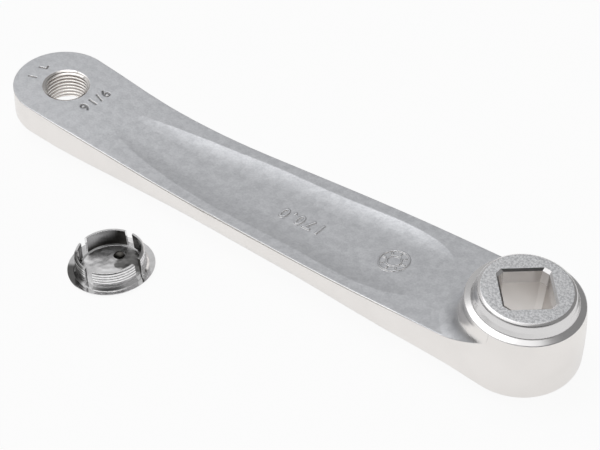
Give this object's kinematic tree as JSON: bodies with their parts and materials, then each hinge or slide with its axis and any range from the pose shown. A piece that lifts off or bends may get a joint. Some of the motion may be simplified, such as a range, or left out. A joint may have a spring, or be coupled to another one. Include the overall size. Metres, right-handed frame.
{
  "type": "bicycle crank arm",
  "caption": "Left-hand square taper crank arm with a threaded pedal eye, a turned collar and a loose dust cap beside it.",
  "frame": {"origin": "where the spindle axis meets the collar face on the inner side of the boss", "axes": "+Z along the spindle axis, towards the bottom bracket; the arm runs along -X to the pedal eye"},
  "size_m": [0.2036, 0.0705, 0.0428],
  "materials": {
    "forged_aluminium": "satin",
    "cap_chrome": "polished"
  },
  "bodies": {
    "root": {"crank_arm": "forged_aluminium", "dust_cap": "cap_chrome"}
  },
  "joints": []
}
